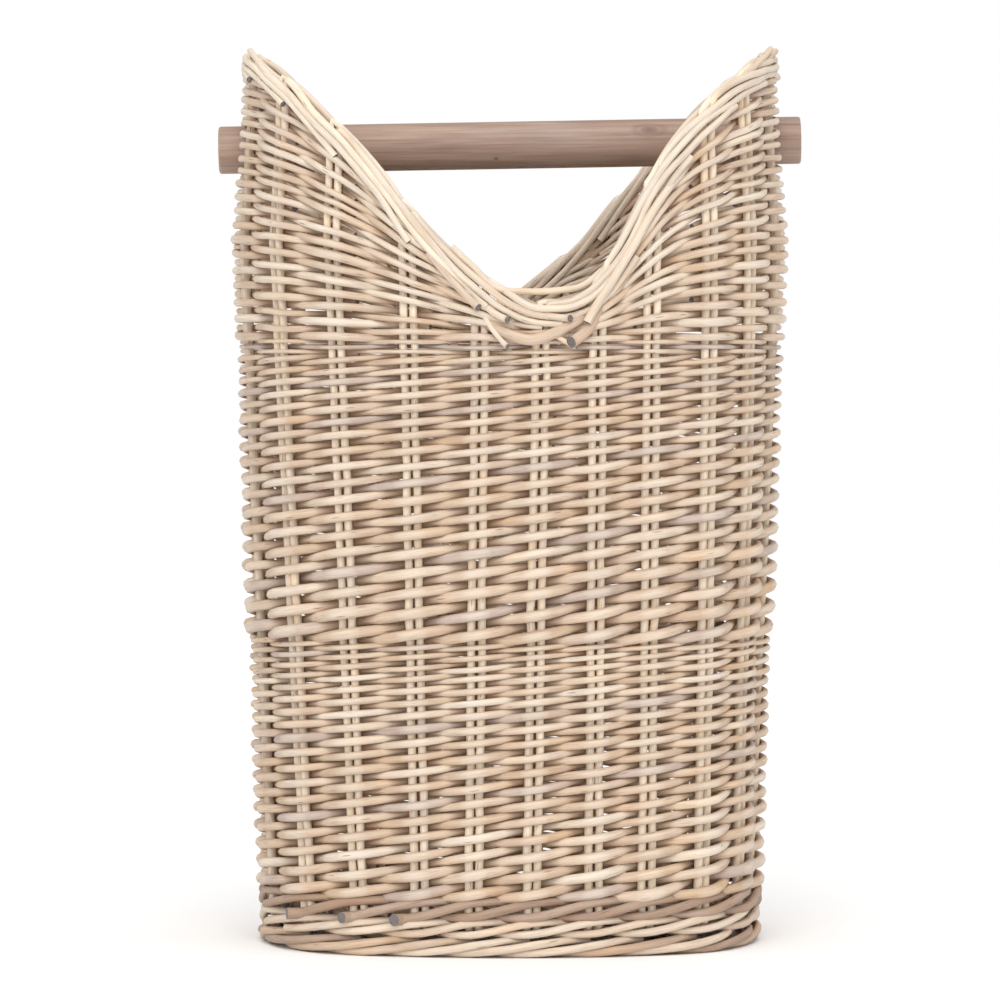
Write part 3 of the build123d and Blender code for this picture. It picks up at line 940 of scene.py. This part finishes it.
def base():
    """Rounds of pairing over and under the base sticks, and straight rods in the middle."""
    sticks = [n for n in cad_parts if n.startswith("base_stick")]
    middles = {n: (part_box(n)[0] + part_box(n)[1]) / 2 / MM for n in sticks}
    cross_x = sorted(middle.x for n, middle in middles.items() if "cross" in n)
    long_y = [middle.y for n, middle in middles.items() if "long" in n]
    base_z = middles[sticks[0]].z
    for i in range(BASE_ROUNDS):
        base_round(i, cross_x, long_y, base_z)
    for i, (y, reach) in enumerate(BASE_FILL):
        rods = Rods(f"base_fill_rod_{i + 1:02d}", 760 + i)
        x = np.linspace(-reach, reach, 60)
        place = np.interp(x, cross_x, np.arange(len(cross_x)))
        up = BASE_SWING * (BASE_STICK_R + BASE_FILL_R) * over_under(place + i)
        rods.add(np.column_stack([x, np.full(60, y), base_z + up]), BASE_FILL_R)
        rods.make(base_willow, ["base_weave"])


base()


# ---------------- pole handle


POLE_HALF = 208.75  # half the visible pole's length, a little inside the CAD pole's ends
POLE_SIDES = 72
POLE_ROUNDING = 1.3  # taken off the radius at the very end
POLE_END_RINGS = np.array([0, 0.25, 0.9, 1.9])  # distances from an end of the rings that round it off
KNOT = (100.0, 14.5, 9.0)  # along the pole, to the front and up
DOT = (-10.0, 14.0, -10.0)


def pole_material():
    """Greyed turned hardwood with one knot at the front near the right, and a small dark spot left of it."""
    material, tree, place, cut = rod_material("pole_wood")
    link = tree.links.new

    def spot(centre, size, length):
        """Distance from a spot's centre, over its size across the pole and its length along it."""
        away = node(tree, "ShaderNodeVectorMath", operation="SUBTRACT")
        away.inputs[1].default_value = centre
        link(place, away.inputs[0])
        far = node(tree, "ShaderNodeVectorMath", operation="LENGTH")
        link(scaled(tree, away.outputs[0], 1 / length, 1 / size), far.inputs[0])
        return far.outputs["Value"]

    grain = noise(tree, place, 0.009, 0.35, 7.0, 0.6, 0.3)
    wood = (0.25, (0.225, 0.145, 0.108)), (0.48, (0.355, 0.243, 0.19)), (0.7, (0.46, 0.335, 0.268))
    colour = ramp(tree, grain, *wood)
    fine = noise(tree, place, 0.03, 2.0, 8.0, 0.7)
    fine_tone = ramp(tree, fine, (0.3, (0.72, 0.7, 0.68)), (0.55, 1.0), (0.75, 1.12))
    colour = mix(tree, "MULTIPLY", 0.7, colour, fine_tone)
    bloom = ramp(tree, noise(tree, place, 0.012, 0.06, 4.0), (0.5, 0.0), (0.75, 0.4))
    colour = mix(tree, "MIX", bloom, colour, (0.42, 0.36, 0.33))
    knot = ramp(tree, spot(KNOT, 7.0, 15.0), (0.0, 0.8), (0.35, 0.45), (0.5, 0.15), (0.7, 0.3), (1.0, 0.0))
    colour = mix(tree, "MIX", knot, colour, (0.16, 0.10, 0.08))
    dot = ramp(tree, spot(DOT, 2.0, 2.6), (0.0, 0.9), (1.0, 0.0))
    colour = mix(tree, "MIX", dot, colour, (0.10, 0.06, 0.05))
    end_grain = ramp(tree, grain, (0.3, (0.20, 0.15, 0.125)), (0.7, (0.40, 0.32, 0.27)))
    colour = mix(tree, "MIX", cut, colour, end_grain)
    finish_material(tree, colour, 0.62, 0.3, fine, 0.25)
    return material


def pole():
    """A turned pole with softened ends and a hand-finished, slightly uneven surface."""
    low_end = POLE_END_RINGS - POLE_HALF
    along = np.concatenate([low_end, np.linspace(4 - POLE_HALF, POLE_HALF - 4, 90), -low_end[::-1]])
    ease = 1 - np.clip((POLE_HALF - np.abs(along)) / POLE_END_RINGS[-1], 0, 1)
    r = POLE_R * (1 + 0.0035 * np.sin(along * 0.021 + 0.6)) - POLE_ROUNDING * (1 - np.sqrt(1 - ease**2))
    r = np.minimum(r, POLE_R)
    angle = np.arange(POLE_SIDES) * 2 * math.pi / POLE_SIDES
    co = np.empty((len(along), POLE_SIDES, 3))
    co[..., 0] = along[:, None]
    co[..., 1] = np.cos(angle)[None, :] * r[:, None]
    co[..., 2] = np.sin(angle)[None, :] * r[:, None]
    faces = tube_faces(len(along), POLE_SIDES).tolist()
    smooth = [True] * len(faces)
    parts, cuts = [co.reshape(-1, 3)], [np.zeros(co.size // 3)]
    for end in (0, -1):
        at = sum(map(len, parts))
        # a cut end: its edge once more, a ring half way in, and its centre
        parts += [co[end], co[end] * [1, 0.5, 0.5], [(along[end], 0, 0)]]
        cuts.append(np.ones(2 * POLE_SIDES + 1))
        for k in range(POLE_SIDES):
            m = (k + 1) % POLE_SIDES
            quad = [at + k, at + m, at + POLE_SIDES + m, at + POLE_SIDES + k]
            tri = [at + POLE_SIDES + k, at + POLE_SIDES + m, at + 2 * POLE_SIDES]
            faces += [quad[::-1], tri[::-1]] if end == 0 else [quad, tri]
            smooth += [False, False]
    co = np.vstack(parts)
    # the axis, then the front and up across it
    axes = np.array([(math.cos(POLE_RISE), 0, math.sin(POLE_RISE)), (0, -1, 0),
                     (-math.sin(POLE_RISE), 0, math.cos(POLE_RISE))])  # fmt: skip
    verts = co @ axes + [0, 0, POLE_Z]
    attributes = {"rod_co": co, "rod_cut": np.concatenate(cuts)}
    made = make_piece("pole_handle_turned", verts, faces, smooth, attributes, pole_material())
    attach(made, "pole")
    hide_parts("pole_handle")


pole()


# ---------------- sticks of the base, kept from the frame


def stick_material():
    """Willow for the base sticks, whose meshes are the frame's own."""
    material = bpy.data.materials.new("stick_willow")
    material.use_nodes = True
    tree = material.node_tree
    link = tree.links.new
    shader = tree.nodes["Principled BSDF"]
    place = node(tree, "ShaderNodeTexCoord")
    squeeze = node(tree, "ShaderNodeVectorMath", operation="MULTIPLY")
    squeeze.inputs[1].default_value = (160, 160, 420)
    link(place.outputs["Object"], squeeze.inputs[0])
    grain = node(tree, "ShaderNodeTexNoise", in_Scale=1.0, in_Detail=6.0, in_Roughness=0.6)
    link(squeeze.outputs[0], grain.inputs["Vector"])
    colour = ramp(tree, grain.outputs["Fac"], (0.25, BROWN), (0.5, TAN), (0.75, CREAM))
    link(colour, shader.inputs["Base Color"])
    shader.inputs["Roughness"].default_value = 0.6
    bump = node(tree, "ShaderNodeBump", in_Strength=0.3, in_Distance=0.0006)
    link(grain.outputs["Fac"], bump.inputs["Height"])
    link(bump.outputs[0], shader.inputs["Normal"])
    return material


stick_willow = stick_material()
for name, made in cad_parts.items():
    if name.startswith("base_stick"):
        made.data.materials.clear()
        made.data.materials.append(stick_willow)


# ---------------- floor, light and camera


FLOOR_HALF = 6.0
FLOOR_DROP = 0.0002  # so that the foot doesn't share its plane


def floor():
    """A plain pale floor."""
    mesh = bpy.data.meshes.new("floor")
    corners = [(x * FLOOR_HALF, y * FLOOR_HALF, 0) for x, y in ((-1, -1), (1, -1), (1, 1), (-1, 1))]
    mesh.from_pydata(corners, [], [(0, 1, 2, 3)])
    material = bpy.data.materials.new("floor_pale")
    material.use_nodes = True
    shader = material.node_tree.nodes["Principled BSDF"]
    shader.inputs["Base Color"].default_value = (0.96, 0.96, 0.96, 1)
    shader.inputs["Roughness"].default_value = 0.9
    shader.inputs["Specular IOR Level"].default_value = 0.1
    mesh.materials.append(material)
    made = bpy.data.objects.new("floor", mesh)
    bpy.context.collection.objects.link(made)
    made.location.z = -FLOOR_DROP


def sun(name, towards, strength, spread, colour=(1, 1, 1)):
    """Even soft light that shines towards a direction; spread is in degrees."""
    data = bpy.data.lights.new(name, "SUN")
    data.energy = strength
    data.angle = math.radians(spread)
    data.color = colour
    made = bpy.data.objects.new(name, data)
    bpy.context.collection.objects.link(made)
    made.rotation_euler = Vector(towards).to_track_quat("-Z", "Y").to_euler()


def surroundings(seen, cast):
    """A white studio: seen is its strength where it shows behind the basket, and cast as it lights it."""
    world = bpy.data.worlds.new("studio")
    world.use_nodes = True
    tree = world.node_tree
    background = tree.nodes["Background"]
    background.inputs["Color"].default_value = (1, 1, 1, 1)
    ray = tree.nodes.new("ShaderNodeLightPath")
    level = tree.nodes.new("ShaderNodeMapRange")
    level.inputs["To Min"].default_value = cast
    level.inputs["To Max"].default_value = seen
    tree.links.new(ray.outputs["Is Camera Ray"], level.inputs["Value"])
    tree.links.new(level.outputs[0], background.inputs["Strength"])
    bpy.context.scene.world = world


floor()
sun("key_light", (0.05, 1.0, -0.6), 1.42, 50, (1.0, 0.98, 0.955))
sun("top_light", (-0.05, 0.3, -1.0), 0.7, 60)
surroundings(1.0, 0.76)
bpy.context.scene.view_settings.view_transform = "Standard"

EYE = Vector((-0.007, -4.03, 0.4385))
AIM = Vector((-0.007, 0.0, 0.316))
FOCAL_LENGTH, SENSOR_WIDTH = 201.6, 36.0
camera = bpy.data.objects.new("camera", bpy.data.cameras.new("camera"))
bpy.context.collection.objects.link(camera)
camera.location = EYE
camera.rotation_euler = (AIM - EYE).to_track_quat("-Z", "Y").to_euler()
camera.data.sensor_width = SENSOR_WIDTH
camera.data.lens = FOCAL_LENGTH
bpy.context.scene.camera = camera
